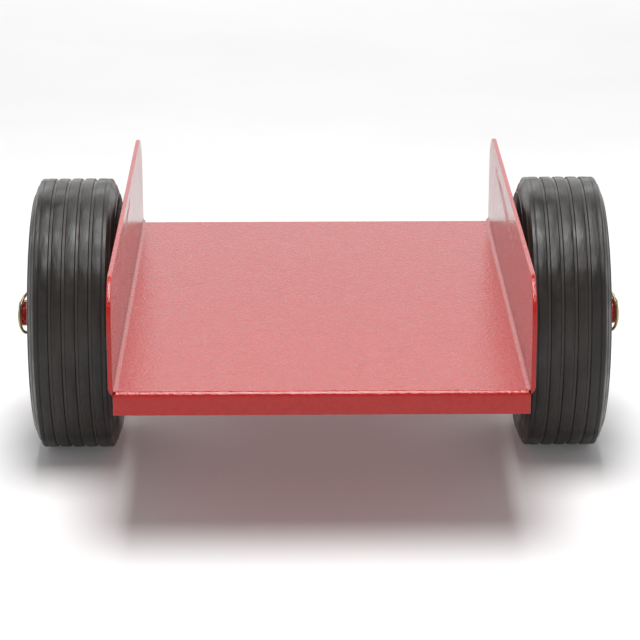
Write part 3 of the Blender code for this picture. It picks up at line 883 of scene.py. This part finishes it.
def ring_corners(inner, outer, half):
    return [(inner, half), (outer, half), (outer, -half), (inner, -half)]


def bolt_boxes(side):
    return [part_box(f"{side}_rim_bolt_{index + 1}") for index in range(BOLTS)]


def hexagon_ring(x, slope=0.0):
    """A ring of points round a hexagon; its corners fall back along X where a chamfer cuts them."""
    ring = []
    for step in range(HEX_STEPS):
        angle = 2 * math.pi * step / HEX_STEPS
        from_flat = (angle + math.pi / 6) % (math.pi / 3) - math.pi / 6
        radius = HEX_ACROSS_FLATS / 2 / math.cos(from_flat)
        drop = slope * (radius - HEX_FACE_RADIUS)
        ring.append((x - drop, radius * math.cos(angle), radius * math.sin(angle)))
    return ring


def round_ring(x, radius):
    angles = [2 * math.pi * step / HEX_STEPS for step in range(HEX_STEPS)]
    return [(x, radius * math.cos(a), radius * math.sin(a)) for a in angles]


def threads(radius, start, end):
    """Rings up and down the flanks of a thread, from one end to the other."""
    turns = round(abs(end - start) / THREAD_PITCH)
    rings = []
    for turn in range(turns):
        base = start + (end - start) * turn / turns
        step = (end - start) / turns
        for share, depth in ((0.1, 0.0), (0.4, THREAD_DEPTH), (0.6, THREAD_DEPTH), (0.9, 0.0)):
            rings.append(round_ring(base + step * share, radius - depth))
    return rings


def bolt_mesh():
    """A bolt along X with the underside of its head at 0 and its head on the far side."""
    flat = HEX_FACE_RADIUS
    rings = [round_ring(-BOLT_LENGTH, BOLT_TIP_RADIUS)]
    rings += [round_ring(-BOLT_LENGTH + BOLT_TIP_LENGTH, BOLT_RADIUS - 0.0001)]
    rings += threads(BOLT_RADIUS, -BOLT_LENGTH + BOLT_THREAD_START, -BOLT_THREAD_END)
    rings += [round_ring(-BOLT_SHANK_LENGTH, BOLT_RADIUS), round_ring(0.0, BOLT_RADIUS)]
    rings += [round_ring(0.0, flat), round_ring(BOLT_HEAD_COLLAR, flat), hexagon_ring(BOLT_HEAD_COLLAR)]
    rings += [hexagon_ring(BOLT_HEAD_HEIGHT, HEX_CHAMFER_SLOPE)]
    rings += [round_ring(BOLT_HEAD_HEIGHT, flat), round_ring(BOLT_HEAD_HEIGHT, flat * BOLT_CAP_SHARE)]
    return loft("bolt", rings)


def nut_mesh():
    flat = HEX_FACE_RADIUS
    half = NUT_HEIGHT / 2
    bore = BOLT_RADIUS + FIT_GAP
    wide = bore + NUT_BORE_CHAMFER
    rings = [round_ring(-half, wide), round_ring(-half, flat), hexagon_ring(-half, -HEX_CHAMFER_SLOPE)]
    rings += [hexagon_ring(half, HEX_CHAMFER_SLOPE), round_ring(half, flat), round_ring(half, wide)]
    rings += [round_ring(half - NUT_BORE_CHAMFER, bore), round_ring(-half + NUT_BORE_CHAMFER, bore)]
    return loft("nut", rings, wrap=True)


def make_fasteners(side):
    """The four bolts and nuts that clamp the two halves of the rim."""
    facing = Matrix.Rotation(0.0 if SIDES[side] > 0 else math.pi, 4, "Z")
    for index in range(1, BOLTS + 1):
        for kind, mesh in (("bolt", bolt_mesh()), ("nut", nut_mesh())):
            name = f"{side}_rim_{kind}_{index}"
            low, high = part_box(name)
            centre = (low + high) / 2
            place = centre.copy()
            if kind == "bolt":
                place.x = (high.x if SIDES[side] > 0 else low.x) - SIDES[side] * BOLT_HEAD_HEIGHT
            towards = math.atan2(centre.z - axle_centre.z, centre.y - axle_centre.y)
            mesh.transform(Matrix.Rotation(towards, 4, "X") @ facing)
            piece = add(f"{name}_form", mesh)
            piece.location = place
            piece.data.set_sharp_from_angle(angle=FASTENER_SHARP_ANGLE)
            stand_for(piece, name)


def make_washer(side, place):
    name = f"{side}_{place}_washer"
    low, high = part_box(name)
    outline = ring_corners(axle_radius + FIT_GAP, (high.z - low.z) / 2, (high.x - low.x) / 2)
    outline = softened([(radius, x, WASHER_ROUND) for radius, x in outline])
    washer = add(f"{name}_form", turned("washer", outline, ROUND_STEPS, wrap=True))
    washer.location = (low + high) / 2
    stand_for(washer, name)


# Linch pins and rings


def pin_axis(side):
    """Where the pin crosses the axle: its own axis lies along Y."""
    low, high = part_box(f"{side}_linch_pin")
    return Vector(((low.x + high.x) / 2, axle_centre.y, axle_centre.z))


def ring_hinge(side):
    joint = next(j for j in record["behaviour"]["joints"] if j["name"] == f"{side}_ring_swing")
    return Vector(joint["pos_m"])


def make_linch_pin(side):
    name = f"{side}_linch_pin"
    low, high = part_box(name)
    axis = pin_axis(side)
    tip, head_end = low.y - axis.y, high.y - axis.y
    under_head = axle_radius + FIT_GAP
    section = [
        (PIN_CAP_RADIUS, tip, 0),
        (PIN_RADIUS - PIN_TIP_TAPER, tip, 0.0006),
        (PIN_RADIUS, tip + PIN_TIP_TAPER, 0.0006),
        (PIN_RADIUS, under_head, 0),
        (PIN_HEAD_RADIUS, under_head, 0.0005),
        (PIN_HEAD_RADIUS, head_end, PIN_HEAD_ROUND),
        (PIN_CAP_RADIUS, head_end, 0),
    ]
    mesh = turned("pin", softened(section, 6, closed=False), SMALL_STEPS)
    mesh.transform(Matrix.Rotation(math.pi / 2, 4, "Z"))
    pin = add(f"{name}_form", mesh)
    pin.location = axis
    hole = rod("hole", RING_WIRE_RADIUS + PIN_GAP, PIN_HOLE_REACH)
    hole.transform(Matrix.Rotation(math.pi / 2, 4, "Y"))
    cutter = add(f"{side}_ring_hole", hole)
    cutter.location = ring_hinge(side)
    boolean(pin, cutter)
    bpy.context.view_layer.update()
    stand_for(baked(pin, [cutter]), name)


def make_ring(side):
    """The wire ring: two short ends hinged in the pin's head and a loop round the end of the axle."""
    radius = axle_radius + RING_AXLE_GAP + RING_WIRE_RADIUS
    stub = PIN_HEAD_RADIUS + RING_WIRE_RADIUS / 2
    sweep = 2 * math.pi - 2 * RING_OPENING
    line = [(0.0, RING_STUB_END, 0), (0.0, stub, RING_BEND_RADIUS)]
    for step in range(ROUND_STEPS + 1):
        angle = RING_OPENING + sweep * step / ROUND_STEPS
        bend = RING_BEND_RADIUS if step in (0, ROUND_STEPS) else 0
        line.append((radius * (math.cos(angle) - 1), radius * math.sin(angle), bend))
    line += [(0.0, -stub, RING_BEND_RADIUS), (0.0, -RING_STUB_END, 0)]
    path = [(0.0, y, z) for y, z in softened(line, 5, closed=False)]
    name = f"{side}_linch_pin_ring"
    mesh = swept(name, path, [RING_WIRE_RADIUS] * len(path), WIRE_SIDES)
    mesh.transform(Matrix.Rotation(SIDES[side] * RING_REST_ANGLE, 4, "Z"))
    ring = add(f"{name}_form", mesh)
    ring.location = ring_hinge(side)
    stand_for(ring, name)


# Floor, light and camera


def make_floor():
    def build(bm):
        bmesh.ops.create_grid(bm, x_segments=8, y_segments=8, size=FLOOR_REACH)

    floor = add("floor", mesh_from(build, "floor"))
    floor.data.materials.append(floor_finish())


def make_wall():
    """A white wall a long way round the object, under a dim sky; it glows least in front."""

    def build(bm):
        ends = {"radius1": WALL_RADIUS, "radius2": WALL_RADIUS}
        made = bmesh.ops.create_cone(bm, segments=96, depth=WALL_HEIGHT, **ends)
        bmesh.ops.translate(bm, verts=made["verts"], vec=(0, 0, WALL_HEIGHT / 2))

    wall = add("studio_wall", mesh_from(build, "studio_wall"))
    made, tree, shader, where = finish("studio_white")
    split = node(tree, "SeparateXYZ", {"Vector": where}).outputs
    reach = WALL_GLOW_REACH
    glow = between(tree, split["Y"], -reach, reach, WALL_GLOW_FRONT, WALL_GLOW_REAR)
    tree.links.new(glow, shader.inputs["Emission Strength"])
    shader.inputs["Base Color"].default_value = BLACK
    shader.inputs["Specular IOR Level"].default_value = 0.0
    shader.inputs["Emission Color"].default_value = WHITE
    wall.data.materials.append(made)


def soft_light(name, size, power):
    """A rectangular light that faces straight down until it is turned."""
    light = bpy.data.lights.new(name, "AREA")
    light.shape = "RECTANGLE"
    light.size, light.size_y = size
    light.energy = power
    return add(name, light)


def make_lights():
    key = soft_light("key", KEY_SIZE, KEY_POWER)
    key.location = (0.0, -KEY_DISTANCE * math.sin(KEY_LEAN), deck_top + KEY_DISTANCE * math.cos(KEY_LEAN))
    key.rotation_euler = (-KEY_LEAN, 0.0, 0.0)
    soft_light("back_light", BACK_LIGHT_SIZE, BACK_LIGHT_POWER).location = BACK_LIGHT_PLACE

    world = bpy.data.worlds.new("studio")
    bpy.context.scene.world = world
    world.use_nodes = True
    sky = world.node_tree.nodes["Background"]
    sky.inputs["Color"].default_value = WHITE
    sky.inputs["Strength"].default_value = SKY_GLOW


def make_camera():
    data = bpy.data.cameras.new("camera")
    data.sensor_width = 36.0
    data.lens = CAMERA_LENS
    data.clip_end = 100.0
    camera = add("camera", data)
    camera.location = CAMERA_PLACE
    camera.rotation_euler = (math.pi / 2 - CAMERA_DROP, CAMERA_ROLL, CAMERA_TURN)
    bpy.context.scene.camera = camera


def main():
    make_tray()
    make_axle()
    for side in SIDES:
        make_saddle(side)
        for place in ("front", "rear"):
            make_weld(side, place)
        make_wheel(side)
        make_fasteners(side)
        for place in ("inner", "outer"):
            make_washer(side, place)
        make_linch_pin(side)
        make_ring(side)
        cage = frame["nodes"][f"{side}_roller_cage"]
        cage.data.materials.clear()
        cage.data.materials.append(finishes["white_nylon"])
    make_floor()
    make_wall()
    make_lights()
    make_camera()
    bpy.context.scene.view_settings.view_transform = "Standard"


main()
